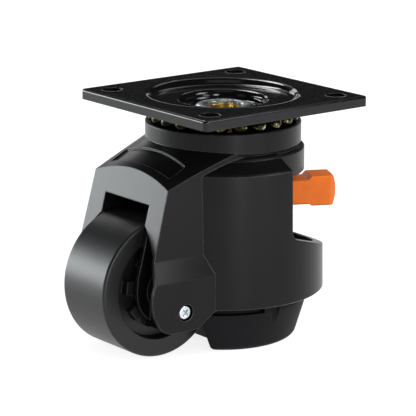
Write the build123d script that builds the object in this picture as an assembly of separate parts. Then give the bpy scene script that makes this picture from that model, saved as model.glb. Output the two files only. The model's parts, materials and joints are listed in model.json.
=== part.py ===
from build123d import *
import math
import os

# Levelling castor: a swivelling wheel with a screw-down foot, raised and lowered by a ratchet lever.
# Frame: origin at the centre of the bolt pattern on the plate's top face, on the swivel axis.
# +Z up, +X towards the wheel, +Y to the castor's left. Units are millimetres.

# ---- top plate
plate_width = 90.0
plate_thickness = 4.5
plate_corner_r = 2.0
plate_edge_r = 0.9
bolt_pattern_width = 70.0
bolt_hole_d = 9.0
dish_mouth_r = 35.0         # the pressed dish starts here and curves down to its first floor
dish_floor_r = 29.6
dish_floor_depth = 2.6      # first floor, which carries the ball race underneath
well_mouth_r = 21.0         # the well starts here and curves down to the second floor
well_floor_r = 16.2
dish_well_depth = 7.0       # second floor, where the kingpin is riveted
dish_sheet = 4.0            # thickness of the pressed part
well_skirt_r = 23.4         # outside of the well, underneath
well_skirt_draft = 1.2

# ---- kingpin
kingpin_r = 9.6
kingpin_bore_r = 8.2
kingpin_flange_r = 17.5
kingpin_flange_t = 3.2
kingpin_ring_r = 12.3
kingpin_ring_t = 2.0

# ---- swivel bearings
upper_ball_d = 7.5
upper_ball_count = 22
upper_pitch_r = 29.6
upper_race_width = 7.6
upper_race_t = 2.5
lower_ball_d = 5.0
lower_ball_count = 16
lower_pitch_r = 13.6
lower_race_width = 6.4
lower_race_t = 2.2
groove_depth = 0.75         # how deep each ball sits in a race

# ---- housing
rim_z = -11.8               # top of the head's rim
head_r = 34.5
head_rim_t = 1.2
head_foot_z = -21.5         # underside of the head ring
neck_r = 36.0
neck_top_z = -22.9
neck_foot_z = -34.0
neck_wall = 5.0
head_web_t = 8.4            # web under the upper race, which carries the lower race
barrel_top_r = 44.0
barrel_foot_r = 44.9
barrel_top_z = -28.0
barrel_foot_z = -87.0
barrel_wall = 3.6
window_x = -3.5             # the barrel is cut open behind this plane
window_rim_z = -57.0        # height of the sloping rim on the swivel axis
window_rim_slope = 0.32     # rise of the rim per millimetre forward
window_corner_r = 4.0
floor_drop = 4.0            # the well behind the rim is this much deeper
mech_r = 22.6               # round well for the ratchet
guide_r = 12.0              # tower that guides the spindle
guide_top_z = -55.8
foot_well_top_z = -77.0

# ---- fork and saddle
flare_back_x = 33.5         # the fork's sides flare towards the barrel: half widths here
fork_top_back = 27.5        # at the plate's level
fork_foot_back = 29.1       # at lug_top_z
lug_back = 32.9
flare_front_x = 60.0        # and here
fork_top_front = 23.3
fork_foot_front = 27.0
lug_front = 31.8
lug_top_z = -62.0
lug_full_z = -71.0
fork_foot_z = -93.4
fork_wall = 1.5             # wall of each leg's shell
face_top_x = 50.3           # front face at the height face_top_z
face_top_z = -31.85
face_lean = 0.27            # how far the front face runs forward per millimetre of drop
leg_front_x = 61.0          # leg's front edge at lug_full_z
leg_belly_x = 62.7          # and where it stands out furthest
leg_belly_z = -79.9
leg_toe_x = 60.0            # start of the round toe
leg_toe_z = -87.9
leg_sole_front = 52.5       # flat underside of the leg
leg_sole_back = 39.0
saddle_x = 34.5             # saddle's crown line starts here, under the head ring
saddle_z = -19.0
saddle_slope = 0.568
saddle_half = 26.2          # half width at which the two drops below are given
saddle_drop_back = 8.75     # how far the saddle's edge lies below its crown at x = 10
saddle_drop_front = 2.9     # and at x = 60
panel_back_x = 37.3
panel_length = 8.6
panel_half = 21.4
panel_depth = 1.0

# ---- wheel and axle
wheel_x = 45.5
wheel_z = -78.0
wheel_r = 30.6
wheel_width = 30.2
tread_round_r = 1.2
wheel_rim_t = 7.8
wheel_recess = 5.0
wheel_block_count = 8       # blocks round the hub, in the recess
wheel_block_t = 6.0
wheel_block_r = 17.6        # outer ends of the blocks
wheel_block_drop = 1.2      # from the wheel's side down to the blocks
wheel_block_angle = 8.0     # first block, above the horizontal
wheel_hub_r = 12.5
slot_half = 15.9
slot_r = 33.4
slot_roof_z = -40.2
slot_back_x = 12.6
boss_r = 9.5
boss_tongue_half = 8.0      # the boss runs down to the sole, round the keeper
pocket_r = 30.5             # hollow of the leg where it opens towards the wheel
pocket_full_r = 22.0        # and where it has reached the outer wall
web_r = 14.8                # web beside the wheel: round about the axle
web_t = 1.6
web_setback = 1.2           # and this far behind the front face above that
spacer_gap = 0.1            # between each leg's boss and the wheel's spacer
axle_d = 8.0
axle_half = 27.0
bearing_r = 9.5
bearing_t = 6.0
sleeve_r = 5.6
spacer_r = 5.5

# ---- axle keepers and their screws
keeper_height = 8.4
keeper_depth = 9.0
screw_d = 4.0
screw_head_d = 6.3
screw_head_t = 2.6
screw_recess_d = 7.3
screw_sink = 0.5            # the head stands this far below the lug's face
screw_drop = 7.2            # screw's axis below the axle's

# ---- screw-down foot
spindle_r = 7.0
spindle_top_z = -15.0
foot_bottom_z = -109.0
foot_rise = 5.0             # the foot can be screwed up by this much
pad_top_r = 37.6
pad_bottom_r = 32.2
pad_edge_r = 2.0
pad_front_z = -91.3         # top of the ledge round the front half
pad_back_z = -84.5          # top of the rest, inside the skirt
pad_ledge_t = 3.0
pad_step_x = 6.0
pad_slot_half = 22.0
pad_slot_x = 13.4
pad_key_r = 1.9
pad_key_x = 0.0
pad_floor_t = 6.0
foot_plate_r = 27.0
foot_plate_t = 3.0
lock_nut_flats = 21.0
lock_nut_t = 7.0
pad_well_r = 15.0

# ---- ratchet
lever_z = -45.0
tooth_count = 20
tooth_tip_r = 16.0
tooth_root_r = 13.6
tooth_height = 9.4
nut_hub_r = 11.0
nut_top_z = -33.2
nut_foot_z = -55.4
thrust_washer_t = 1.6
carrier_r = 20.6
carrier_wall = 2.0
socket_r = 8.4
socket_floor = 17.8         # where the spring chamber starts, measured from the swivel axis
socket_end = 26.6
socket_wall = 1.6
carrier_screw_d = 2.6
carrier_screw_length = 6.0
carrier_screw_head_t = 1.2
carrier_screw_slot = 0.6
carrier_screw_count = 4

# ---- lever
lever_angle = 153.0         # degrees from +X, counter-clockwise seen from above
lever_end = 50.6
lever_width = 13.0
lever_grip_half = 6.8
lever_neck_top = 5.0
lever_neck_foot = 6.0
lever_grip_start = 39.2
lever_step = 1.8
lever_bulge = 1.6
lever_nose_skew = 3.0
shank_r = 4.3
tip_r = 3.0
tip_gap = 0.35              # at rest the lever is held out and the tip stands this far clear of the teeth
tip_stroke = 2.0            # the spring takes the lever in by this much, into mesh
collar_t = 1.2
collar_r = 6.3
cap_t = 2.2
cap_lip_t = 0.8
spring_wire_r = 0.4
spring_turns = 2

# ---- clearances
running_fit = 0.06          # radial, between a shaft and its bearing
loose_fit = 0.4             # radial, where pieces pass without touching
ball_fit = 0.1              # radial, between a ball and its groove
seat_gap = 0.3              # along an axis, between pieces that move past each other

# ---- heights and places that follow from the sizes above
dish_underside_z = -dish_floor_depth - dish_sheet
well_underside_z = -dish_well_depth - dish_sheet
upper_ball_r = upper_ball_d / 2
upper_ball_z = dish_underside_z + groove_depth - upper_ball_r
upper_race_top_z = upper_ball_z - upper_ball_r + groove_depth
upper_race_foot_z = upper_race_top_z - upper_race_t
head_web_foot_z = upper_race_foot_z - head_web_t
lower_ball_r = lower_ball_d / 2
lower_race_foot_z = head_web_foot_z
lower_ball_z = lower_race_foot_z + groove_depth - lower_ball_r
flange_top_z = lower_ball_z - lower_ball_r + groove_depth
flange_foot_z = flange_top_z - kingpin_flange_t
ring_top_z = -dish_well_depth + kingpin_ring_t
screw_z = wheel_z - screw_drop
spacer_t = slot_half - wheel_width / 2 - spacer_gap
axle_r = axle_d / 2
collar_start = socket_floor + tip_stroke + seat_gap
shank_start = collar_start - 0.1
neck_start = socket_end + cap_lip_t + tip_stroke + seat_gap
lever_direction = Vector(math.cos(math.radians(lever_angle)), math.sin(math.radians(lever_angle)), 0)
lever_plane = Plane(origin=(0, 0, lever_z), x_dir=(0, 0, 1), z_dir=lever_direction)
lever_frame = Plane(origin=(0, 0, lever_z), x_dir=lever_direction, z_dir=(0, 0, 1))
wheel_plane = Plane(origin=(wheel_x, 0, wheel_z), x_dir=(1, 0, 0), z_dir=(0, 1, 0))
big = 200.0


# ---- small helpers
def tube(r_out, r_in, z_top, z_foot):
    """Ring or disc about the swivel axis between two heights."""
    body = Pos(0, 0, (z_top + z_foot) / 2) * Cylinder(r_out, z_top - z_foot)
    if r_in > 0:
        body -= Pos(0, 0, (z_top + z_foot) / 2) * Cylinder(r_in, 2 * (z_top - z_foot))
    return body


def turned(points):
    """Solid of revolution about the swivel axis from (radius, height) corners."""
    outline = make_face(Polyline([(r, 0, z) for r, z in points], close=True))
    return revolve(outline, axis=Axis.Z)


def axle_tube(r_out, r_in, y_low, y_high):
    """Ring or disc about the wheel's axle between two values of y."""
    body = Pos(wheel_x, (y_low + y_high) / 2, wheel_z) * Rot(90, 0, 0) * Cylinder(r_out, y_high - y_low)
    if r_in > 0:
        hole = Rot(90, 0, 0) * Cylinder(r_in, 2 * (y_high - y_low))
        body -= Pos(wheel_x, (y_low + y_high) / 2, wheel_z) * hole
    return body


def axle_turned(points):
    """Solid of revolution about the axle from (radius, y) corners."""
    outline = make_face(Polyline([(r, 0, y) for r, y in points], close=True))
    return Pos(wheel_x, 0, wheel_z) * Rot(-90, 0, 0) * revolve(outline, axis=Axis.Z)


def block(x_low, x_high, y_low, y_high, z_low, z_high):
    size = (x_high - x_low, y_high - y_low, z_high - z_low)
    middle = ((x_low + x_high) / 2, (y_low + y_high) / 2, (z_low + z_high) / 2)
    return Pos(*middle) * Box(*size)


def along_lever(r_out, r_in, start, end):
    """Ring or disc about the lever's own axis between two distances from the swivel axis."""
    body = lever_plane * Pos(0, 0, (start + end) / 2) * Cylinder(r_out, end - start)
    if r_in > 0:
        body -= lever_plane * Pos(0, 0, (start + end) / 2) * Cylinder(r_in, 2 * (end - start))
    return body


def groove(pitch_r, z, ball_r):
    """Torus that leaves a ball its clearance."""
    return Pos(0, 0, z) * Torus(pitch_r, ball_r + ball_fit)


def ball_ring(count, pitch_r, z, ball_r):
    return Compound(children=[Pos(0, 0, z) * place * Sphere(ball_r) for place in PolarLocations(pitch_r, count)])


def ogee(r_high, z_high, r_low, z_low):
    """Two tangent arcs that lead from one level down to another, in the XZ plane."""
    reach = r_high - r_low
    drop = z_high - z_low
    radius = (reach ** 2 + drop ** 2) / (4 * drop)
    half_turn = math.atan(drop / reach)
    side = radius * math.sin(half_turn)
    dip = radius * (1 - math.cos(half_turn))
    middle = ((r_high + r_low) / 2, 0, (z_high + z_low) / 2)
    upper = ThreePointArc((r_high, 0, z_high), (r_high - side, 0, z_high - dip), middle)
    lower = ThreePointArc(middle, (r_low + side, 0, z_low + dip), (r_low, 0, z_low))
    return upper, lower


# ---- plate body
def make_top_plate():
    """Square plate with a pressed dish: a rounded mouth, a race floor and a deeper rivet well."""
    flat = Pos(0, 0, -plate_thickness / 2) * Box(plate_width, plate_width, plate_thickness)
    flat = fillet(flat.edges().filter_by(Axis.Z), plate_corner_r)
    flat = fillet(flat.faces().sort_by(Axis.Z)[-1].edges(), plate_edge_r)
    race_r = upper_pitch_r + upper_race_width / 2
    pressing = turned([
        (0, -plate_thickness / 2),
        (dish_mouth_r + 1.0, -plate_thickness / 2),
        (dish_mouth_r + 1.0, -plate_thickness),
        (race_r, dish_underside_z),
        (well_skirt_r, dish_underside_z),
        (well_skirt_r - well_skirt_draft, well_underside_z),
        (0, well_underside_z),
    ])
    above = 1.0
    lip = ogee(dish_mouth_r, 0, dish_floor_r, -dish_floor_depth)
    well = ogee(well_mouth_r, -dish_floor_depth, well_floor_r, -dish_well_depth)
    edges = [
        Line((0, 0, above), (dish_mouth_r, 0, above)),
        Line((dish_mouth_r, 0, above), (dish_mouth_r, 0, 0)),
        *lip,
        Line((dish_floor_r, 0, -dish_floor_depth), (well_mouth_r, 0, -dish_floor_depth)),
        *well,
        Line((well_floor_r, 0, -dish_well_depth), (0, 0, -dish_well_depth)),
        Line((0, 0, -dish_well_depth), (0, 0, above)),
    ]
    dish = revolve(make_face(Wire(edges)), axis=Axis.Z)
    plate = flat + pressing - dish
    plate -= tube(kingpin_r, 0, 0, 2 * well_underside_z)
    plate -= groove(upper_pitch_r, upper_ball_z, upper_ball_r)
    for place in GridLocations(bolt_pattern_width, bolt_pattern_width, 2, 2):
        plate -= place * Cylinder(bolt_hole_d / 2, 4 * plate_thickness)
    return plate


def make_kingpin():
    """Hollow rivet pin; its lower flange is the inner half of the lower bearing."""
    stem = tube(kingpin_r, kingpin_bore_r, -dish_well_depth, flange_foot_z)
    flange = tube(kingpin_flange_r, kingpin_bore_r, flange_top_z, flange_foot_z)
    return stem + flange - groove(lower_pitch_r, lower_ball_z, lower_ball_r)


def make_kingpin_ring():
    """Rolled-over rivet head in the plate's well."""
    top = ring_top_z
    foot = -dish_well_depth
    return turned([
        (kingpin_bore_r, foot),
        (kingpin_ring_r, foot),
        (kingpin_ring_r, top - 0.9),
        (kingpin_ring_r - 1.1, top - 0.1),
        (kingpin_ring_r - 2.0, top),
        (kingpin_bore_r + 0.8, top - 0.1),
        (kingpin_bore_r, top - 0.8),
    ])


# ---- swivel bearings
def make_head_race():
    half = upper_race_width / 2
    ring = tube(upper_pitch_r + half - 0.2, upper_pitch_r - half, upper_race_top_z, upper_race_foot_z)
    return ring - groove(upper_pitch_r, upper_ball_z, upper_ball_r)


def make_lower_race():
    half = lower_race_width / 2
    ring = tube(lower_pitch_r + half, lower_pitch_r - half, lower_race_foot_z + lower_race_t, lower_race_foot_z)
    return ring - groove(lower_pitch_r, lower_ball_z, lower_ball_r)


# ---- housing
def make_barrel():
    """Slightly tapered barrel with a conical shoulder, cut open behind along a sloping rim."""
    barrel = turned([
        (0, head_foot_z - 0.4),
        (head_r - 1.5, head_foot_z - 0.4),
        (barrel_top_r - 0.8, barrel_top_z + 0.5),
        (barrel_top_r, barrel_top_z - 0.3),
        (barrel_foot_r, barrel_foot_z + 0.4),
        (barrel_foot_r - 0.5, barrel_foot_z),
        (0, barrel_foot_z),
    ])
    return barrel - rear_opening(window_x, 0)


def rear_opening(front_x, drop):
    """Everything above the sloping rim and behind a plane, with a rounded lower front corner."""
    def rim(x):
        return window_rim_z + window_rim_slope * x - drop
    outline = Polyline([(front_x, 0, 1), (front_x, 0, rim(front_x)), (-big, 0, rim(-big)), (-big, 0, 1)], close=True)
    prism = extrude(make_face(outline), big, dir=(0, 1, 0), both=True)
    corner = prism.edges().filter_by(Axis.Y).sort_by(Axis.X)[-2:].sort_by(Axis.Z)[0]
    return fillet(corner, window_corner_r)


def make_head():
    """Head ring with its rim, an undercut and the round neck over the window."""
    return turned([
        (0, rim_z),
        (head_r - 0.4, rim_z),
        (head_r, rim_z - 0.4),
        (head_r, head_foot_z + 0.7),
        (head_r - 0.7, head_foot_z),
        (head_r - 1.6, head_foot_z - 0.3),
        (head_r - 1.6, neck_top_z),
        (neck_r - 0.6, neck_top_z),
        (neck_r, neck_top_z - 0.6),
        (neck_r, neck_foot_z + 0.6),
        (neck_r - 0.6, neck_foot_z),
        (0, neck_foot_z),
    ])


def face_x(z):
    """Front face of the fork at a height."""
    return face_top_x + face_lean * (face_top_z - z)


def fork_profile():
    """Fork seen from the side: leaning front face, bellied leg with a round toe, sloping heel."""
    heel_x = math.sqrt(barrel_foot_r ** 2 - lug_back ** 2)
    toe_bend = ((leg_toe_x + leg_sole_front) / 2 + 1.0, 0, (leg_toe_z + fork_foot_z) / 2 - 1.0)
    outline = [
        Line((0, 0, -4), (face_x(-4), 0, -4)),
        Line((face_x(-4), 0, -4), (face_x(lug_top_z), 0, lug_top_z)),
        Line((face_x(lug_top_z), 0, lug_top_z), (leg_front_x, 0, lug_full_z)),
        ThreePointArc((leg_front_x, 0, lug_full_z), (leg_belly_x, 0, leg_belly_z), (leg_toe_x, 0, leg_toe_z)),
        ThreePointArc((leg_toe_x, 0, leg_toe_z), toe_bend, (leg_sole_front, 0, fork_foot_z)),
        Line((leg_sole_front, 0, fork_foot_z), (leg_sole_back, 0, fork_foot_z)),
        Line((leg_sole_back, 0, fork_foot_z), (heel_x + 0.5, 0, barrel_foot_z - 0.6)),
        Line((heel_x + 0.5, 0, barrel_foot_z - 0.6), (heel_x - 2.5, 0, barrel_foot_z)),
        Line((heel_x - 2.5, 0, barrel_foot_z), (0, 0, barrel_foot_z)),
        Line((0, 0, barrel_foot_z), (0, 0, -4)),
    ]
    return extrude(make_face(Wire(outline)), big / 2, dir=(0, 1, 0), both=True)


def flared(back, front, x):
    """Half width at x of a side that runs straight from its back value to its front value."""
    share = (x - flare_back_x) / (flare_front_x - flare_back_x)
    return back + (front - back) * share


def fork_section(inset):
    """Flared fork walls that step out to the lug. Inset gives the inner faces of the legs' shells."""
    def section(x):
        top = flared(fork_top_back, fork_top_front, x) - inset
        foot = flared(fork_foot_back, fork_foot_front, x) - inset
        lug = flared(lug_back, lug_front, x) - inset
        step = 0.4 * inset
        half = [(top, 0), (foot, lug_top_z - step), (lug, lug_full_z - step), (lug, -big)]
        mirrored = [(-y, z) for y, z in reversed(half)]
        return make_face(Polyline([(x, y, z) for y, z in half + mirrored], close=True))
    return loft([section(0), section(leg_belly_x + 5)], ruled=True)


def above_saddle(offset):
    """All that lies above the saddle: its crown flattens towards the front face."""
    def section(x, drop):
        crown = saddle_z - saddle_slope * (x - saddle_x) - offset
        radius = (saddle_half ** 2 + drop ** 2) / (2 * drop)
        edge_y = lug_back + 2
        edge_z = crown - radius + math.sqrt(radius ** 2 - edge_y ** 2)
        return Wire([
            ThreePointArc((x, -edge_y, edge_z), (x, 0, crown), (x, edge_y, edge_z)),
            Line((x, edge_y, edge_z), (x, edge_y, big)),
            Line((x, edge_y, big), (x, -edge_y, big)),
            Line((x, -edge_y, big), (x, -edge_y, edge_z)),
        ])
    back = section(10, saddle_drop_back)
    front = section(60, saddle_drop_front)
    return loft([make_face(back), make_face(front)], ruled=True)


def make_fork():
    fork = fork_profile() & fork_section(0)
    fork -= above_saddle(0)
    panel = block(panel_back_x, panel_back_x + panel_length, -panel_half, panel_half, -big, 0)
    panel = fillet(panel.edges().filter_by(Axis.Z), 1.0)
    return fork - (above_saddle(panel_depth) & panel)


def wheel_slot():
    """Room for the wheel: an arc over the tread, a straight roof at the mouth, open below."""
    slot = axle_tube(slot_r, 0, -slot_half, slot_half)
    slot += block(wheel_x - 7, big, -slot_half, slot_half, -big, slot_roof_z)
    slot += block(slot_back_x, big, -slot_half, slot_half, -big, wheel_z)
    return slot


def leg_pocket(side):
    """Hollow of a leg round the boss that holds the axle, open to the front and below."""
    hollow = axle_turned([
        (boss_r, slot_half - 1),
        (pocket_r, slot_half - 1),
        (pocket_r, slot_half + 0.2),
        (pocket_full_r, fork_foot_front - fork_wall),
        (pocket_full_r, big / 2),
        (boss_r, big / 2),
    ])
    hollow &= block(wheel_x - 12, big, -big, big, -big, 0)
    hollow -= block(wheel_x - boss_tongue_half, wheel_x + boss_tongue_half, -big, big, -big, wheel_z)
    hollow &= fork_section(fork_wall)
    edge = web_setback
    web = extrude(make_face(Polyline([
        (wheel_x - 20, 0, wheel_z),
        (wheel_x + web_r, 0, wheel_z),
        (face_x(lug_full_z) - edge, 0, lug_full_z),
        (face_x(slot_roof_z) - edge, 0, slot_roof_z),
        (wheel_x - 20, 0, slot_roof_z),
    ], close=True)), slot_half + web_t, dir=(0, 1, 0))
    hollow -= web + axle_tube(web_r, 0, 0, slot_half + web_t)
    return hollow if side > 0 else mirror(hollow, about=Plane.XZ)


def lug_face():
    """Half width over the lugs, in line with the axle."""
    return flared(lug_back, lug_front, wheel_x)


def axle_seat(side):
    """Open-bottomed slot in a boss for the axle and its keeper, with the screw's hole below."""
    seat_half = axle_r + running_fit
    low = slot_half - 3
    seat = axle_tube(seat_half, 0, low, axle_half + running_fit)
    seat += block(wheel_x - seat_half, wheel_x + seat_half, low, axle_half + running_fit, -big, wheel_z)
    outside = lug_face()
    hole = Pos(wheel_x, outside, screw_z) * Rot(90, 0, 0) * Cylinder(screw_d / 2 + 0.2, 2 * (outside - low))
    sink_depth = screw_head_t + screw_sink
    sink = Pos(wheel_x, outside, screw_z) * Rot(90, 0, 0) * Cylinder(screw_recess_d / 2, 2 * sink_depth)
    seat += hole + sink
    return seat if side > 0 else mirror(seat, about=Plane.XZ)


def make_housing():
    """One die casting: head, neck, barrel, saddle, fork legs and skirt."""
    body = make_barrel() + make_head() + make_fork()
    # bearing pockets and kingpin bore
    body -= tube(head_r - head_rim_t, 0, 0, upper_race_foot_z)
    body -= tube(kingpin_r + loose_fit, 0, 0, 2 * neck_foot_z)
    half = lower_race_width / 2
    body -= tube(lower_pitch_r + half, 0, lower_race_foot_z + lower_race_t, neck_foot_z)
    body -= tube(neck_r - neck_wall, 0, head_web_foot_z, neck_foot_z)
    # ratchet well, open to the rear window
    body -= tube(mech_r, 0, neck_foot_z + 0.01, guide_top_z - 1)
    hollow = tube(barrel_top_r - barrel_wall, 0, neck_foot_z + 0.01, foot_well_top_z + 3)
    hollow &= rear_opening(window_x + 4, floor_drop)
    body -= hollow
    body += tube(guide_r, 0, guide_top_z, foot_well_top_z)
    # foot well and wheel slot
    foot_well = tube(barrel_foot_r - barrel_wall, 0, foot_well_top_z, barrel_foot_z - 20)
    inner_walls = block(slot_back_x + 0.4, big, -pad_slot_half + 0.8, pad_slot_half - 0.8, -big, 0)
    body -= foot_well - inner_walls
    body -= wheel_slot()
    for side in (1, -1):
        body -= leg_pocket(side)
        body -= axle_seat(side)
    body -= tube(spindle_bush_r(), 0, guide_top_z + 1, 2 * foot_well_top_z)
    return body


def spindle_bush_r():
    return spindle_r + 2.0


def make_spindle_bush():
    return tube(spindle_bush_r(), spindle_r + running_fit, guide_top_z, foot_well_top_z)


# ---- wheel and axle
def make_wheel():
    """Solid nylon wheel: tread, a recess each side with blocks round its hub, and room for two bearings."""
    half = wheel_width / 2
    rim_r = wheel_r - wheel_rim_t
    blank = axle_tube(wheel_r, bearing_r, -half, half)
    blank = fillet(blank.edges().filter_by(GeomType.CIRCLE).group_by(SortBy.RADIUS)[-1], tread_round_r)
    for side in (1, -1):
        recess = axle_turned([
            (wheel_hub_r, half - wheel_recess),
            (rim_r - 0.8, half - wheel_recess),
            (rim_r, half + 1),
            (wheel_hub_r, half + 1),
        ])
        for i in range(wheel_block_count):
            angle = wheel_block_angle + i * 360 / wheel_block_count
            foot = half - wheel_recess - 1
            stub = Pos(wheel_block_r / 2, 0, (foot + half - wheel_block_drop) / 2)
            stub = stub * Box(wheel_block_r, wheel_block_t, half - wheel_block_drop - foot)
            recess -= wheel_plane * Rot(0, 0, -angle) * stub
        blank -= recess if side > 0 else mirror(recess, about=Plane.XZ)
    blank += axle_tube(bearing_r + 1, sleeve_r + loose_fit, -half + bearing_t, half - bearing_t)
    return blank


def make_wheel_bearing(side):
    """Shielded ball bearing, drawn closed: rings with a shallow groove at the shield."""
    half = wheel_width / 2
    ring = axle_turned([
        (axle_r + running_fit, half - bearing_t),
        (bearing_r, half - bearing_t),
        (bearing_r, half),
        (bearing_r - 1.2, half),
        (bearing_r - 1.4, half - 0.4),
        (axle_r + 1.6, half - 0.4),
        (axle_r + 1.4, half),
        (axle_r + running_fit, half),
    ])
    return ring if side > 0 else mirror(ring, about=Plane.XZ)


def make_wheel_sleeve():
    half = wheel_width / 2 - bearing_t
    return axle_tube(sleeve_r, axle_r + running_fit, -half, half)


def make_wheel_spacer(side):
    half = wheel_width / 2
    ring = axle_tube(spacer_r, axle_r + running_fit, half, half + spacer_t)
    return ring if side > 0 else mirror(ring, about=Plane.XZ)


def make_axle():
    rod = axle_tube(axle_r, 0, -axle_half, axle_half)
    return chamfer(rod.edges().filter_by(GeomType.CIRCLE), 0.6)


def make_axle_keeper(side):
    """Block that closes the slot under the axle; the screw draws it against the leg."""
    top = wheel_z - axle_r * 0.62
    high = axle_half
    half = axle_r - 0.05
    keeper = block(wheel_x - half, wheel_x + half, high - keeper_depth, high, top - keeper_height, top)
    keeper -= axle_tube(axle_r + 0.05, 0, high - 2 * keeper_depth, high + 2)
    thread = Pos(wheel_x, high, screw_z) * Rot(90, 0, 0) * Cylinder(screw_d / 2, 3 * keeper_depth)
    keeper -= thread
    return keeper if side > 0 else mirror(keeper, about=Plane.XZ)


def make_keeper_screw(side):
    """Pan-head screw with a cross recess."""
    head_top = lug_face() - screw_sink
    head_foot = head_top - screw_head_t
    head = Pos(wheel_x, head_foot + screw_head_t / 2, screw_z) * Rot(90, 0, 0)
    head = head * Cylinder(screw_head_d / 2, screw_head_t)
    head = fillet(head.edges().filter_by(GeomType.CIRCLE).sort_by(Axis.Y)[-1], 0.9)
    shank_low = axle_half - keeper_depth + 0.5
    shank = Pos(wheel_x, (head_foot + shank_low) / 2, screw_z) * Rot(90, 0, 0)
    shank = shank * Cylinder(screw_d / 2, head_foot - shank_low)
    screw = head + shank
    for angle in (45, 135):
        bar = Pos(wheel_x, head_top, screw_z) * Rot(0, angle, 0) * Box(3.6, 2.4, 0.9)
        screw -= bar
    return screw if side > 0 else mirror(screw, about=Plane.XZ)


# ---- foot
def make_spindle():
    rod = tube(spindle_r, 0, spindle_top_z, foot_bottom_z + pad_floor_t)
    return chamfer(rod.edges().filter_by(GeomType.CIRCLE).sort_by(Axis.Z)[-1], 1.0)


def pad_slot(extra):
    """U-shaped way for the wheel and the fork's inner walls."""
    return block(pad_slot_x - extra, big, -pad_slot_half - extra, pad_slot_half + extra, -big, 0)


def foot_plate_top_z():
    return foot_bottom_z + pad_floor_t + foot_plate_t


def make_foot_plate():
    """Steel plate in the pad's pocket, riveted to the spindle."""
    plate = tube(foot_plate_r, spindle_r, foot_plate_top_z(), foot_bottom_z + pad_floor_t)
    return plate - pad_slot(3)


def make_foot_lock_nut():
    """Hexagon nut that clamps the plate on the spindle."""
    foot = foot_plate_top_z()
    hexagon = extrude(Rot(0, 0, 30) * RegularPolygon(lock_nut_flats / 2, 6, major_radius=False), lock_nut_t)
    cone = turned([
        (0, foot),
        (lock_nut_flats / 2 * 1.2, foot),
        (lock_nut_flats / 2 * 1.2, foot + lock_nut_t - 1.4),
        (lock_nut_flats / 2 - 0.2, foot + lock_nut_t),
        (0, foot + lock_nut_t),
    ])
    nut = (Pos(0, 0, foot) * hexagon) & cone
    return nut - tube(spindle_r, 0, 0, 2 * foot)


def make_foot_pad():
    """Tapered rubber pad: slot for the wheel, key grooves, a low front ledge and a pocket on top."""
    height = pad_back_z - foot_bottom_z
    taper = (pad_top_r - pad_bottom_r) / (pad_front_z - foot_bottom_z)
    arc_in = pad_edge_r * (1 - math.sin(math.radians(45)))
    edges = [
        Line((0, 0, foot_bottom_z), (pad_bottom_r - pad_edge_r, 0, foot_bottom_z)),
        ThreePointArc((pad_bottom_r - pad_edge_r, 0, foot_bottom_z),
                      (pad_bottom_r - arc_in, 0, foot_bottom_z + arc_in),
                      (pad_bottom_r + taper * pad_edge_r, 0, foot_bottom_z + pad_edge_r)),
        Line((pad_bottom_r + taper * pad_edge_r, 0, foot_bottom_z + pad_edge_r), (pad_top_r, 0, pad_front_z)),
        Line((pad_top_r, 0, pad_front_z), (pad_top_r, 0, pad_back_z)),
        Line((pad_top_r, 0, pad_back_z), (0, 0, pad_back_z)),
        Line((0, 0, pad_back_z), (0, 0, foot_bottom_z)),
    ]
    pad = revolve(make_face(Wire(edges)), axis=Axis.Z)
    pad -= pad_slot(0)
    pad = fillet(pad.edges().filter_by(Axis.Z).filter_by(lambda e: abs(e.center().X - pad_slot_x) < 0.1), 4.0)
    ledge = tube(pad_top_r + 1, pad_top_r - pad_ledge_t, 0, pad_front_z)
    pad -= ledge & block(pad_step_x, big, -big, big, -big, 0)
    wall_room = barrel_foot_z - foot_rise - 0.5
    pad -= block(slot_back_x - 0.4, big, -pad_slot_half, pad_slot_half, wall_room, 0)
    for side in (1, -1):
        key = Pos(pad_key_x, side * pad_top_r, pad_back_z) * Cylinder(pad_key_r, 2 * height)
        pad -= key
    pad -= tube(pad_well_r, 0, 0, foot_plate_top_z()) & block(-big, pad_slot_x - 1.5, -big, big, -big, 0)
    plate_room = tube(foot_plate_r, 0, foot_plate_top_z(), foot_bottom_z + pad_floor_t) - pad_slot(3)
    return pad - plate_room


# ---- ratchet nut
def make_ratchet_nut():
    """Long nut with a ring of square-cut ratchet teeth."""
    pitch = 360 / tooth_count
    teeth = []
    for i in range(tooth_count):
        middle = lever_angle + (i + 0.5) * pitch
        corners = []
        for radius, half_angle in ((tooth_root_r - 1, 0.27), (tooth_tip_r, 0.17)):
            corners.append((radius, -half_angle * pitch))
            corners.append((radius, half_angle * pitch))
        order = [corners[0], corners[2], corners[3], corners[1]]
        flat = [(r * math.cos(math.radians(middle + a)), r * math.sin(math.radians(middle + a))) for r, a in order]
        teeth.append(make_face(Polyline(flat, close=True)))
    low = lever_z - tooth_height / 2
    crown = tube(tooth_root_r, 0, lever_z + tooth_height / 2, low)
    for tooth in teeth:
        crown += Pos(0, 0, low) * extrude(tooth, tooth_height)
    nut = crown + tube(nut_hub_r, 0, nut_top_z, nut_foot_z)
    return nut - tube(spindle_r + running_fit, 0, 0, 2 * nut_foot_z)


def make_thrust_washer():
    """Takes the foot's thrust against the kingpin's flange."""
    return tube(nut_hub_r + 1.5, spindle_r + 1.0, nut_top_z + thrust_washer_t, nut_top_z)


# ---- ratchet carrier
def carrier_half():
    return tooth_height / 2 + 0.5 + carrier_wall


def carrier_screw_places():
    """Cover screws sit in the ring's wall, two each side of the socket."""
    spread = 360 / carrier_screw_count
    angles = [lever_angle + spread * (i + 0.5) for i in range(carrier_screw_count)]
    r = (carrier_r + tooth_tip_r + 0.6) / 2
    return [(r * math.cos(math.radians(a)), r * math.sin(math.radians(a))) for a in angles]


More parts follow.
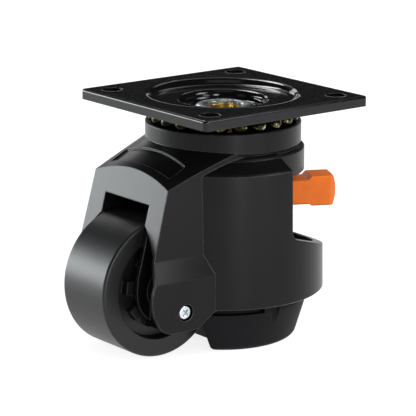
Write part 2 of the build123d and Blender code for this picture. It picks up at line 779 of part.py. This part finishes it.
def make_carrier_body():
    """Ring that swings round the nut, with a socket for the lever's shank."""
    low = lever_z - carrier_half()
    cover_foot = lever_z + carrier_half() - carrier_wall
    body = tube(carrier_r, 0, cover_foot, low)
    body += along_lever(socket_r, 0, tooth_tip_r, socket_end) & block(-big, big, -big, big, low - 5, cover_foot + 6)
    body -= tube(tooth_tip_r + 0.6, 0, cover_foot + 10, low + carrier_wall)
    body -= tube(nut_hub_r + running_fit, 0, 0, 2 * low)
    body -= tube(carrier_r, 0, cover_foot + 10, cover_foot)
    body -= along_lever(tip_r + running_fit, 0, 0, socket_end)
    body -= along_lever(socket_r - socket_wall, 0, socket_floor, socket_end + 1)
    for x, y in carrier_screw_places():
        body -= Pos(x, y, cover_foot) * Cylinder(carrier_screw_d / 2, 2 * carrier_screw_length)
    return body


def make_carrier_cover():
    """Lid over the ratchet teeth."""
    top = lever_z + carrier_half()
    lid = tube(carrier_r, nut_hub_r + running_fit, top, top - carrier_wall)
    lid -= along_lever(socket_r + 0.05, 0, tooth_tip_r + 2, socket_end)
    for x, y in carrier_screw_places():
        lid -= Pos(x, y, top) * Cylinder(carrier_screw_d / 2, 2 * carrier_screw_length)
    return lid


def make_carrier_screws():
    top = lever_z + carrier_half()
    screws = []
    for x, y in carrier_screw_places():
        shank = Pos(x, y, top - carrier_screw_length / 2) * Cylinder(carrier_screw_d / 2, carrier_screw_length)
        head = Pos(x, y, top + carrier_screw_head_t / 2) * Cylinder(carrier_screw_d * 0.8, carrier_screw_head_t)
        slot = Pos(x, y, top + carrier_screw_head_t)
        slot = slot * Box(2 * carrier_screw_d, carrier_screw_slot, carrier_screw_head_t)
        screws.append(head + shank - slot)
    return Compound(children=screws)


def make_socket_cap():
    """Screwed ring that closes the socket behind the spring."""
    cap = along_lever(socket_r - socket_wall, shank_r + running_fit, socket_end - cap_t, socket_end)
    lip = along_lever(socket_r, shank_r + running_fit, socket_end, socket_end + cap_lip_t)
    return cap + lip


# ---- lever
def make_lever():
    """Moulded handle: round shank, flat-sided neck and a taller grip with a bowed end."""
    half = lever_width / 2
    end = lever_end - lever_bulge
    profile = [
        Line((neck_start, 0, -lever_neck_foot), (neck_start, 0, lever_neck_top)),
        Line((neck_start, 0, lever_neck_top), (lever_grip_start - lever_step, 0, lever_neck_top)),
        Line((lever_grip_start - lever_step, 0, lever_neck_top), (lever_grip_start, 0, lever_grip_half)),
        Line((lever_grip_start, 0, lever_grip_half), (end, 0, lever_grip_half)),
        ThreePointArc((end, 0, lever_grip_half), (lever_end, 0, 0), (end, 0, -lever_grip_half)),
        Line((end, 0, -lever_grip_half), (lever_grip_start, 0, -lever_grip_half)),
        Line((lever_grip_start, 0, -lever_grip_half), (lever_grip_start - 1, 0, -lever_neck_foot)),
        Line((lever_grip_start - 1, 0, -lever_neck_foot), (neck_start, 0, -lever_neck_foot)),
    ]
    handle = extrude(make_face(Wire(profile)), half, dir=(0, 1, 0), both=True)
    long_edges = handle.edges().filter_by(Axis.X)
    handle = chamfer(long_edges, 0.5)
    nose = extrude(make_face(Polyline([
        (lever_end + 2, -half - 1, 0),
        (lever_end - lever_nose_skew - 1, -half - 1, 0),
        (lever_end + 2, -half + lever_nose_skew + 2, 0),
    ], close=True)), big, both=True)
    handle -= nose
    handle = lever_frame * handle
    handle += along_lever(shank_r, 0, shank_start, neck_start)
    handle -= along_lever(tip_r - 0.6, 0, 0, shank_start + 5)
    return handle


def make_pawl_tip():
    """Steel tip pressed into the shank, bevelled on one side so that it drives one way only."""
    start = tooth_tip_r + tip_gap
    pin = along_lever(tip_r, 0, start, shank_start)
    pin += along_lever(tip_r - 0.6, 0, start, shank_start + 5)
    flat = lever_frame * block(0, start + 2.6, -10, -1.25, -10, 10)
    other = lever_frame * block(0, start + 2.6, 1.25, 10, -10, 10)
    pin -= flat
    pin -= other
    bevel = lever_frame * (Pos(start, 1.25, 0) * Rot(0, 0, 35) * Box(2.0, 1.4, 20))
    return pin - bevel


def make_spring_collar():
    return along_lever(collar_r, shank_r + running_fit, collar_start, collar_start + collar_t)


def make_pull_spring():
    """Coil that pushes the shank towards the teeth."""
    start = collar_start + collar_t + spring_wire_r
    length = socket_end - cap_t - spring_wire_r - start
    coil_r = (shank_r + socket_r - socket_wall) / 2
    path = Helix(length / spring_turns, length, coil_r)
    section = Plane(origin=path @ 0, z_dir=path % 0) * Circle(spring_wire_r)
    coil = sweep(section, path=path, is_frenet=True)
    return lever_plane * Pos(0, 0, start) * coil


# ---- write one file for each piece
pieces = {
    "top_plate": make_top_plate(),
    "kingpin": make_kingpin(),
    "kingpin_ring": make_kingpin_ring(),
    "housing": make_housing(),
    "head_race": make_head_race(),
    "upper_balls": ball_ring(upper_ball_count, upper_pitch_r, upper_ball_z, upper_ball_r),
    "lower_race": make_lower_race(),
    "lower_balls": ball_ring(lower_ball_count, lower_pitch_r, lower_ball_z, lower_ball_r),
    "spindle_bush": make_spindle_bush(),
    "axle": make_axle(),
    "axle_keeper_left": make_axle_keeper(1),
    "axle_keeper_right": make_axle_keeper(-1),
    "keeper_screw_left": make_keeper_screw(1),
    "keeper_screw_right": make_keeper_screw(-1),
    "wheel": make_wheel(),
    "wheel_bearing_left": make_wheel_bearing(1),
    "wheel_bearing_right": make_wheel_bearing(-1),
    "wheel_sleeve": make_wheel_sleeve(),
    "wheel_spacer_left": make_wheel_spacer(1),
    "wheel_spacer_right": make_wheel_spacer(-1),
    "ratchet_nut": make_ratchet_nut(),
    "thrust_washer": make_thrust_washer(),
    "spindle": make_spindle(),
    "foot_plate": make_foot_plate(),
    "foot_lock_nut": make_foot_lock_nut(),
    "foot_pad": make_foot_pad(),
    "carrier_body": make_carrier_body(),
    "carrier_cover": make_carrier_cover(),
    "carrier_screws": make_carrier_screws(),
    "socket_cap": make_socket_cap(),
    "spring_collar": make_spring_collar(),
    "pull_spring": make_pull_spring(),
    "lever": make_lever(),
    "pawl_tip": make_pawl_tip(),
}
os.makedirs("parts", exist_ok=True)
for name, solid in pieces.items():
    export_step(solid, "parts/" + name + ".step")
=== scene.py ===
import bpy
import json
import math
from mathutils import Matrix, Vector


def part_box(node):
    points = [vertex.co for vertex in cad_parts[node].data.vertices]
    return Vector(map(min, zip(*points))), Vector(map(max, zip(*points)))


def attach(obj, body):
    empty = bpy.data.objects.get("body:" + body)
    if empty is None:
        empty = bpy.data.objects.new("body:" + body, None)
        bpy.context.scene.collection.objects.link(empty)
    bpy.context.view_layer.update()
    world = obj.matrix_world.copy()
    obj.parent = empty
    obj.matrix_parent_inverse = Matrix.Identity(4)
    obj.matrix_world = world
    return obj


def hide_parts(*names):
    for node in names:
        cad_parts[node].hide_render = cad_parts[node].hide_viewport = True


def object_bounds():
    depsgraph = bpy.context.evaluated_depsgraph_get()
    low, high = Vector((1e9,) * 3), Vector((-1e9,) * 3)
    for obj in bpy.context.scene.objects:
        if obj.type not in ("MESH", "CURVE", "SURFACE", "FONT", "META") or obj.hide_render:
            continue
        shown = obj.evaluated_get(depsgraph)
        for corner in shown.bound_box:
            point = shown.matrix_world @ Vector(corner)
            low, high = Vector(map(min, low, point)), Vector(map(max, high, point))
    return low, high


# Levelling castor: looks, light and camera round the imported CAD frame.
# Lengths are in metres and angles in degrees.

# ---- camera, at the photograph's angle
CAMERA_AZIMUTH = 51.5       # from +X towards +Y
CAMERA_ELEVATION = 13.95
CAMERA_DISTANCE = 1.0
CAMERA_TARGET = Vector((0, 0, -0.05))
CAMERA_ROLL = 0.2
CAMERA_LENS = 194.5         # mm, as SENSOR_WIDTH is
CAMERA_SHIFT = (-0.0357, -0.0131)
CAMERA_CLIP = (0.05, 20)
SENSOR_WIDTH = 36

# ---- threads, the fine forms that are left to this script
THREAD_PITCH = 0.002
THREAD_DEPTH = 0.0006
THREAD_LEAD_IN = 0.0012     # chamfer at the spindle's top
THREAD_FLANK = 3.0          # heights that a flank falls over one pitch, away from the crest
THREAD_FLAT = 0.25          # heights of that fall that the crest's flat takes up
THREAD_STEPS = 48           # mesh steps round one turn
THREAD_ROWS = 8             # mesh rows to one pitch
BORE_R = 0.0082             # the kingpin's bore
BORE_LEAD_IN = 0.002

# ---- surface detail
BEVEL_SAMPLES = 6
EDGE_TURN = (0.80, 0.995)   # cosine of the turn: a full edge, and none
PLATED_EDGE_R = 0.0002
PLATED_MARKS = 0.000012     # depth of the tool marks

# ---- floor and world
FLOOR_STEPS = 64
# (radius, height above the floor) of each ring: flat, then turned up into a low wall
FLOOR_RINGS = [(0.02, 0), (0.3, 0), (1.0, 0), (1.9, 0), (2.2, 0.05), (2.4, 0.16), (2.45, 0.32)]
FLOOR_COLOUR = (0.34, 0.34, 0.34, 1)
FLOOR_ROUGHNESS = 0.9
FLOOR_SPECULAR = 0.1
FLOOR_LIFT = 0.84           # pale background: added where the floor is seen, not where it lights
WORLD = 0.02

# ---- lights: name, azimuth, elevation, distance, width, height, radiance, colour
LIGHTS = [
    ("key_left", -61, 6.5, 1.0, 0.62, 0.31, 15.5, (0.94, 0.98, 1.0)),
    ("dish_glint", -109, 47, 1.0, 0.28, 0.22, 13.0, (1, 1, 1)),
    ("panel_glint", -109, 21, 1.0, 0.22, 0.18, 3.0, (1, 1, 1)),
    ("band_front", 72, 4, 1.0, 0.22, 0.50, 12.0, (1.0, 0.98, 0.95)),
    ("band_side", 100, 6, 1.0, 0.30, 0.50, 4.5, (1.0, 0.98, 0.95)),
    ("bevel", 124, 42, 1.0, 0.40, 0.40, 10.5, (1, 1, 1)),
    ("low_front", 0, 10, 1.0, 0.40, 0.40, 0.4, (1, 1, 1)),
    ("behind", 231, 36, 1.0, 0.60, 0.20, 1.0, (1, 1, 1)),
    ("overhead", 50, 80, 1.2, 0.60, 0.60, 0.5, (1, 1, 1)),
]
# the broad fill isn't mirrored in the glossy black, which would turn grey
FILL = ("fill", 58, 48, 1.4, 1.8, 1.4, 1.7, (1, 1, 1))

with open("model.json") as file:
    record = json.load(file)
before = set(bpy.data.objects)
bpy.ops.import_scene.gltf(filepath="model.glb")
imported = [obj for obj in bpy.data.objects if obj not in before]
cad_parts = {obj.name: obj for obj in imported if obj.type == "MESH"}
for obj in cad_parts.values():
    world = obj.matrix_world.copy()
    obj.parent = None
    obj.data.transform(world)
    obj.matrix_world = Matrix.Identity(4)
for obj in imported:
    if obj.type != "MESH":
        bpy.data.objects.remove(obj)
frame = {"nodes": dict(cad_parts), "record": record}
cad_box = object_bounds()
nodes = frame["nodes"]
floor_z = cad_box[0].z
centre = (cad_box[0] + cad_box[1]) / 2


def direction(azimuth, elevation):
    """Unit vector from the object: azimuth from +X towards +Y, elevation above the horizon."""
    a = math.radians(azimuth)
    e = math.radians(elevation)
    return Vector((math.cos(a) * math.cos(e), math.sin(a) * math.cos(e), math.sin(e)))


# ---- node helpers
class Shader:
    """A material under construction, with short calls for the nodes that its detail needs."""

    def __init__(self, name):
        self.material = bpy.data.materials.new(name)
        self.material.use_nodes = True
        self.tree = self.material.node_tree
        self.surface = self.tree.nodes["Principled BSDF"]
        self.place = self.add("ShaderNodeTexCoord").outputs["Object"]

    def add(self, kind, **settings):
        node = self.tree.nodes.new(kind)
        for key, value in settings.items():
            setattr(node, key, value)
        return node

    def link(self, source, socket):
        self.tree.links.new(source, socket)

    def set(self, **values):
        """Constants go straight on the shader's own sockets."""
        for key, value in values.items():
            self.surface.inputs[key.replace("_", " ")].default_value = value

    def noise(self, size, detail=3.0, rough=0.5):
        """Noise whose features are about this many metres across."""
        node = self.add("ShaderNodeTexNoise")
        node.inputs["Scale"].default_value = 1 / size
        node.inputs["Detail"].default_value = detail
        node.inputs["Roughness"].default_value = rough
        self.link(self.place, node.inputs["Vector"])
        return node.outputs["Fac"]

    def spread(self, source, low, high, start=0.3, end=0.7):
        """Source between start and end becomes a value between low and high."""
        node = self.add("ShaderNodeMapRange")
        node.inputs["From Min"].default_value = start
        node.inputs["From Max"].default_value = end
        node.inputs["To Min"].default_value = low
        node.inputs["To Max"].default_value = high
        self.link(source, node.inputs["Value"])
        return node.outputs["Result"]

    def colours(self, source, stops):
        """Colour ramp from (place, colour) stops."""
        node = self.add("ShaderNodeValToRGB")
        ramp = node.color_ramp
        while len(ramp.elements) < len(stops):
            ramp.elements.new(0.5)
        for element, (place, colour) in zip(ramp.elements, stops):
            element.position = place
            element.color = (*colour, 1)
        self.link(source, node.inputs["Fac"])
        return node.outputs["Color"]

    def mix(self, factor, first, second):
        """First where the factor is 0, the plain colour second where it is 1."""
        node = self.add("ShaderNodeMix", data_type="RGBA")
        self.link(factor, node.inputs["Factor"])
        self.link(first, node.inputs[6])        # the two colours of an RGBA mix are inputs 6 and 7
        node.inputs[7].default_value = (*second, 1)
        return node.outputs[2]

    def edges(self, radius):
        """(rounded normal, edge mask): the mask is 1 where the surface turns within the radius."""
        bevel = self.add("ShaderNodeBevel", samples=BEVEL_SAMPLES)
        bevel.inputs["Radius"].default_value = radius
        flat = self.add("ShaderNodeNewGeometry").outputs["Normal"]
        dot = self.add("ShaderNodeVectorMath", operation="DOT_PRODUCT")
        self.link(bevel.outputs["Normal"], dot.inputs[0])
        self.link(flat, dot.inputs[1])
        return bevel.outputs["Normal"], self.spread(dot.outputs["Value"], 1.0, 0.0, *EDGE_TURN)

    def bump(self, height, depth, normal):
        """Height of 0 to 1 becomes relief of this many metres on top of the normal."""
        node = self.add("ShaderNodeBump")
        node.inputs["Strength"].default_value = 1.0
        node.inputs["Distance"].default_value = depth
        self.link(height, node.inputs["Height"])
        self.link(normal, node.inputs["Normal"])
        return node.outputs["Normal"]

    def finish(self, colour, roughness, normal):
        self.link(colour, self.surface.inputs["Base Color"])
        self.link(roughness, self.surface.inputs["Roughness"])
        self.link(normal, self.surface.inputs["Normal"])
        return self.material


def shades(colour, spread):
    """The same colour a little darker and a little lighter."""
    return tuple(c * (1 - spread) for c in colour), tuple(c * (1 + spread) for c in colour)


def coated(name, colour, edge_wear_and_highlight, rough, grain, depth, edge_r, specular):
    """Satin paint or coating: fine grain, cloudy sheen and lightened edges, which are rubbed paint
    on the plate and a painted highlight on the casting.
    """
    s = Shader(name)
    dark, light = shades(colour, 0.12)
    normal, edge = s.edges(edge_r)
    cloud = s.colours(s.noise(0.012), [(0.3, dark), (0.7, light)])
    patches = s.spread(s.noise(0.004, 4), 0.15, 0.6)
    # lightened edges: the edge mask in random patches, mixed towards the edge colour, which is
    # rubbed paint on the plate and a painted highlight on the casting
    rubbed_and_lit_edges = s.add("ShaderNodeMath", operation="MULTIPLY")
    s.link(edge, rubbed_and_lit_edges.inputs[0])
    s.link(patches, rubbed_and_lit_edges.inputs[1])
    s.set(Specular_IOR_Level=specular)
    roughness = s.spread(s.noise(0.0012, 4), rough - 0.015, rough + 0.02)
    relief = s.bump(s.noise(grain, 2), depth, normal)
    return s.finish(s.mix(rubbed_and_lit_edges.outputs["Value"], cloud, edge_wear_and_highlight), roughness, relief)


def moulded(name, colour, rough, grain, depth, edge_r, specular, subsurface=0.0):
    """Moulded plastic or rubber: faint mottling and a spark-eroded grain."""
    s = Shader(name)
    dark, light = shades(colour, 0.09)
    normal, edge = s.edges(edge_r)
    cloud = s.colours(s.noise(0.007, 4), [(0.3, dark), (0.7, light)])
    rubbed = tuple(min(1.0, c * 1.5 + 0.004) for c in colour)
    faded = s.mix(s.spread(edge, 0.0, 0.35, 0, 1), cloud, rubbed)
    s.set(Specular_IOR_Level=specular)
    if subsurface > 0:
        s.set(Subsurface_Weight=subsurface, Subsurface_Scale=0.002)
    roughness = s.spread(s.noise(0.0010, 4), rough - 0.03, rough + 0.03)
    return s.finish(faded, roughness, s.bump(s.noise(grain, 3), depth, normal))


def plated(name, stops, rough):
    """Plated or bare metal: tinted film, fine tool marks and a varied polish."""
    s = Shader(name)
    normal, edge = s.edges(PLATED_EDGE_R)
    film = s.colours(s.noise(0.0026, 4, 0.6), stops)
    marks = s.noise(0.0004, 3, 0.6)
    lightest = tuple(min(1.0, c * 1.2) for c in stops[-1][1])
    bright = s.mix(s.spread(edge, 0.0, 0.5, 0, 1), film, lightest)
    s.set(Metallic=1.0)
    roughness = s.spread(marks, rough - 0.06, rough + 0.10)
    return s.finish(bright, roughness, s.bump(marks, PLATED_MARKS, normal))


GREY_WEAR = (0.04, 0.04, 0.042)         # rubbed edges of the plate
SATIN_EDGE_HIGHLIGHT = (0.22, 0.22, 0.23)         # painted highlight along the casting's edges, standing in for light caught by its rounded edges
YELLOW_FILM = [
    (0.25, (0.36, 0.38, 0.10)), (0.45, (0.66, 0.56, 0.18)),
    (0.6, (0.80, 0.52, 0.18)), (0.75, (0.92, 0.84, 0.45)),
]
BLUE_FILM = [(0.3, (0.42, 0.50, 0.55)), (0.5, (0.66, 0.72, 0.76)), (0.7, (0.85, 0.88, 0.90))]
# bearing balls: grease, and near-black steel as painted shade of the gap between plate and head,
# with bright spots as painted glints
GREASE_AND_SHADE_FILM = [
    (0.46, (0.006, 0.0055, 0.002)), (0.58, (0.03, 0.027, 0.008)), (0.70, (0.50, 0.47, 0.28)),
]
DARK_FILM = [(0.3, (0.055, 0.055, 0.06)), (0.7, (0.12, 0.12, 0.125))]
SPRING_FILM = [(0.3, (0.30, 0.30, 0.31)), (0.7, (0.52, 0.52, 0.53))]
BRONZE_FILM = [(0.3, (0.45, 0.30, 0.14)), (0.7, (0.68, 0.50, 0.28))]

materials = {
    "plate_black": coated(
        "satin_plate", colour=(0.003, 0.003, 0.0032), edge_wear_and_highlight=GREY_WEAR, rough=0.12,
        grain=0.0008, depth=0.0000003, edge_r=0.0006, specular=0.34),
    # the casting's edge colour is a painted highlight, not rubbed paint
    "body_black": coated(
        "satin_casting", colour=(0.0035, 0.0035, 0.0036), edge_wear_and_highlight=SATIN_EDGE_HIGHLIGHT, rough=0.31,
        grain=0.0005, depth=0.000006, edge_r=0.0006, specular=0.18),
    "yellow_zinc": plated("yellow_passivate", YELLOW_FILM, rough=0.22),
    "bright_zinc": plated("blue_passivate", BLUE_FILM, rough=0.26),
    # the balls' colour is grease plus painted shade of the bearing gap, with painted glints
    "bearing_steel": plated("greased_steel_painted_shade", GREASE_AND_SHADE_FILM, rough=0.16),
    "dark_steel": plated("blackened_steel", DARK_FILM, rough=0.36),
    "spring_steel": plated("spring_wire", SPRING_FILM, rough=0.28),
    "bush_bronze": plated("sintered_bronze", BRONZE_FILM, rough=0.40),
    "wheel_nylon": moulded(
        "black_nylon", colour=(0.0035, 0.0035, 0.0037), rough=0.41,
        grain=0.0006, depth=0.000014, edge_r=0.0006, specular=0.40),
    "natural_nylon": moulded(
        "natural_nylon", colour=(0.78, 0.75, 0.66), rough=0.42,
        grain=0.0006, depth=0.00001, edge_r=0.0003, specular=0.45, subsurface=0.1),
    "lever_orange": moulded(
        "orange_nylon", colour=(0.69, 0.135, 0.002), rough=0.40,
        grain=0.0006, depth=0.00002, edge_r=0.0005, specular=0.30, subsurface=0.05),
    "foot_rubber": moulded(
        "black_rubber", colour=(0.003, 0.003, 0.0042), rough=0.62,
        grain=0.0005, depth=0.00003, edge_r=0.0006, specular=0.15),
}
for part in frame["record"]["subparts"]:
    mesh = nodes[part["node"]].data
    mesh.materials.clear()
    mesh.materials.append(materials[part["material_slot"]])


# ---- threads
def new_piece(name, vertices, faces, slot, body):
    """Smooth-shaded piece with its material slot, riding on a body."""
    mesh = bpy.data.meshes.new(name)
    mesh.from_pydata(vertices, [], faces)
    mesh.validate()
    mesh.materials.append(materials[slot])
    for face in mesh.polygons:
        face.use_smooth = True
    piece = bpy.data.objects.new(name, mesh)
    bpy.context.scene.collection.objects.link(piece)
    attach(piece, body)
    return piece


def thread_height(z, turn):
    """0 at the root to 1 at the crest of a thread with narrow flats."""
    phase = (z / THREAD_PITCH - turn) % 1.0
    return 1 - min(1.0, max(0.0, abs(phase - 0.5) * THREAD_FLANK - THREAD_FLAT))


def ring_faces(rows, steps):
    """Quads that join rows of points, each row a closed ring."""
    faces = []
    for row in range(rows):
        for step in range(steps):
            a = row * steps + step
            b = row * steps + (step + 1) % steps
            faces.append((a, b, b + steps, a + steps))
    return faces


def threaded_rod(radius, depth, low, high):
    """Rod with a thread and a chamfered top."""
    rows = round((high - low) / THREAD_PITCH * THREAD_ROWS)
    points = []
    for row in range(rows + 1):
        z = low + (high - low) * row / rows
        for step in range(THREAD_STEPS):
            turn = step / THREAD_STEPS
            r = radius - depth * (1 - thread_height(z, turn))
            r = min(r, radius - THREAD_LEAD_IN + (high - z))
            points.append((r * math.cos(turn * math.tau), r * math.sin(turn * math.tau), z))
    faces = ring_faces(rows, THREAD_STEPS)
    last = rows * THREAD_STEPS
    faces.append(tuple(range(THREAD_STEPS - 1, -1, -1)))
    faces.append(tuple(range(last, last + THREAD_STEPS)))
    return points, faces


def threaded_bore(radius, depth, low, high):
    """Thin sleeve in a bore: its inner face has the thread, its outer face lies in the wall."""
    rows = round((high - low) / THREAD_PITCH * THREAD_ROWS)
    points = []
    for row in range(rows + 1):
        z = low + (high - low) * row / rows
        for step in range(THREAD_STEPS):
            turn = step / THREAD_STEPS
            r = radius - depth * thread_height(z, turn)
            if row in (0, rows):
                r = radius + depth / 2
            points.append((r * math.cos(turn * math.tau), r * math.sin(turn * math.tau), z))
    faces = [tuple(reversed(face)) for face in ring_faces(rows, THREAD_STEPS)]
    last = rows * THREAD_STEPS
    for step in range(THREAD_STEPS):
        after = (step + 1) % THREAD_STEPS
        faces.append((step, after, last + after, last + step))
    return points, faces


spindle_low, spindle_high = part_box("spindle")
points, faces = threaded_rod(spindle_high.x, THREAD_DEPTH, spindle_low.z, spindle_high.z)
spindle = new_piece("spindle_thread", points, faces, "yellow_zinc", "foot")
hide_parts("spindle")

kingpin_low, kingpin_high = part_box("kingpin")
points, faces = threaded_bore(
    BORE_R, THREAD_DEPTH, kingpin_low.z + BORE_LEAD_IN, kingpin_high.z - BORE_LEAD_IN)
new_piece("bore_thread", points, faces, "yellow_zinc", "plate")


# ---- floor, light and camera
def make_floor():
    """Round pale floor that turns up into a low wall."""
    turns = [step / FLOOR_STEPS * math.tau for step in range(FLOOR_STEPS)]
    points = [
        (r * math.cos(turn), r * math.sin(turn), floor_z + height)
        for r, height in FLOOR_RINGS for turn in turns
    ]
    faces = [tuple(range(FLOOR_STEPS))] + ring_faces(len(FLOOR_RINGS) - 1, FLOOR_STEPS)
    mesh = bpy.data.meshes.new("floor")
    mesh.from_pydata(points, [], faces)
    for face in mesh.polygons:
        face.use_smooth = True
    floor = bpy.data.objects.new("floor", mesh)
    bpy.context.scene.collection.objects.link(floor)
    mesh.materials.append(floor_material())


def seen_directly(tree):
    """1 for camera, glossy and transmission rays, 0 for the rays that carry light."""
    path = tree.nodes.new("ShaderNodeLightPath")
    first = tree.nodes.new("ShaderNodeMath")
    first.operation = "ADD"
    tree.links.new(path.outputs["Is Camera Ray"], first.inputs[0])
    tree.links.new(path.outputs["Is Glossy Ray"], first.inputs[1])
    second = tree.nodes.new("ShaderNodeMath")
    second.operation = "ADD"
    second.use_clamp = True
    tree.links.new(first.outputs["Value"], second.inputs[0])
    tree.links.new(path.outputs["Is Transmission Ray"], second.inputs[1])
    return second.outputs["Value"]


def floor_material():
    """Matt pale floor whose brightness is lifted to white where it is seen."""
    material = bpy.data.materials.new("pale_floor")
    material.use_nodes = True
    tree = material.node_tree
    surface = tree.nodes["Principled BSDF"]
    surface.inputs["Base Color"].default_value = FLOOR_COLOUR
    surface.inputs["Roughness"].default_value = FLOOR_ROUGHNESS
    surface.inputs["Specular IOR Level"].default_value = FLOOR_SPECULAR
    surface.inputs["Emission Color"].default_value = (1, 1, 1, 1)
    lift = tree.nodes.new("ShaderNodeMath")
    lift.operation = "MULTIPLY"
    lift.inputs[1].default_value = FLOOR_LIFT
    tree.links.new(seen_directly(tree), lift.inputs[0])
    tree.links.new(lift.outputs["Value"], surface.inputs["Emission Strength"])
    return material


def softbox(name, azimuth, elevation, distance, width, height, radiance, colour):
    """Rectangular soft light that faces the object, as bright as its radiance and size say."""
    lamp = bpy.data.lights.new(name, "AREA")
    lamp.shape = "RECTANGLE"
    lamp.size = width
    lamp.size_y = height
    lamp.energy = radiance * width * height * math.pi
    lamp.color = colour
    holder = bpy.data.objects.new(name, lamp)
    bpy.context.scene.collection.objects.link(holder)
    towards = direction(azimuth, elevation)
    holder.location = centre + towards * distance
    holder.rotation_mode = "QUATERNION"
    holder.rotation_quaternion = towards.to_track_quat("Z", "Y")
    return holder


def make_world():
    """Faint even light from all round."""
    world = bpy.data.worlds.new("studio")
    world.use_nodes = True
    world.node_tree.nodes["Background"].inputs["Color"].default_value = (1, 1, 1, 1)
    world.node_tree.nodes["Background"].inputs["Strength"].default_value = WORLD
    bpy.context.scene.world = world


def make_camera():
    """Long lens on the object, rolled and shifted as the photograph is framed."""
    data = bpy.data.cameras.new("camera")
    data.lens = CAMERA_LENS
    data.sensor_width = SENSOR_WIDTH
    data.shift_x, data.shift_y = CAMERA_SHIFT
    data.clip_start, data.clip_end = CAMERA_CLIP
    camera = bpy.data.objects.new("camera", data)
    bpy.context.scene.collection.objects.link(camera)
    back = direction(CAMERA_AZIMUTH, CAMERA_ELEVATION)
    camera.location = CAMERA_TARGET + back * CAMERA_DISTANCE
    camera.rotation_mode = "QUATERNION"
    turn = (-back).to_track_quat("-Z", "Y")
    roll = Matrix.Rotation(math.radians(CAMERA_ROLL), 4, "Z").to_quaternion()
    camera.rotation_quaternion = turn @ roll
    bpy.context.scene.camera = camera


make_floor()
make_world()
for settings in LIGHTS:
    softbox(*settings)
softbox(*FILL).visible_glossy = False
make_camera()
bpy.context.scene.view_settings.view_transform = "Standard"
